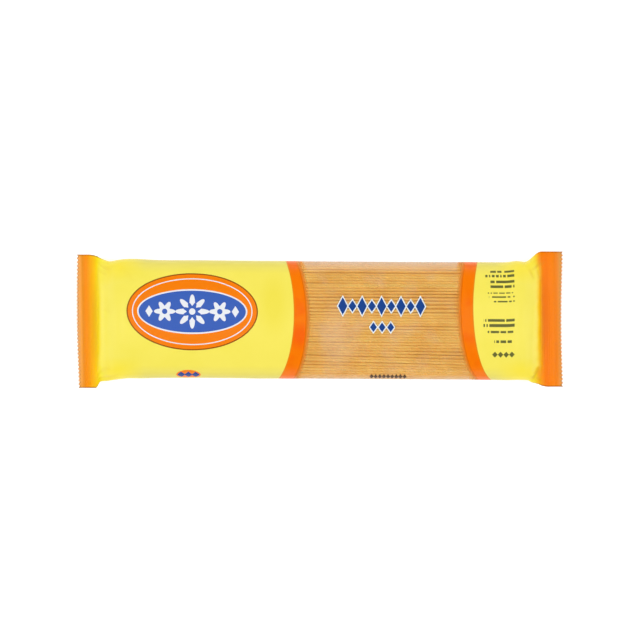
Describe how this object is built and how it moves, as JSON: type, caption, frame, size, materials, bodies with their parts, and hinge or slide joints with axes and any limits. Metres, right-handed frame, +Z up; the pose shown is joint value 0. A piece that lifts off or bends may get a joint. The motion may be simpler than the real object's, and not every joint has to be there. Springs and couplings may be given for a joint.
{
  "type": "spaghetti packet",
  "caption": "Sealed film pack of dry spaghetti with yellow printed ends, orange crimped seals and a clear middle that shows the pasta.",
  "frame": {"origin": "on the ground under the middle of the pack's box, as it lies on its back seam", "axes": "+X along the pasta, towards the end with the shorter printed panel; +Y across the pack, towards the top of its print; +Z up, away from the ground"},
  "size_m": [0.295, 0.0835, 0.026],
  "materials": {
    "printed_film": "printed film, satin gloss",
    "durum_pasta": "dry pasta, smooth and slightly waxy"
  },
  "bodies": {
    "root": {"film_wrap": "printed_film", "spaghetti": "durum_pasta"}
  },
  "joints": []
}
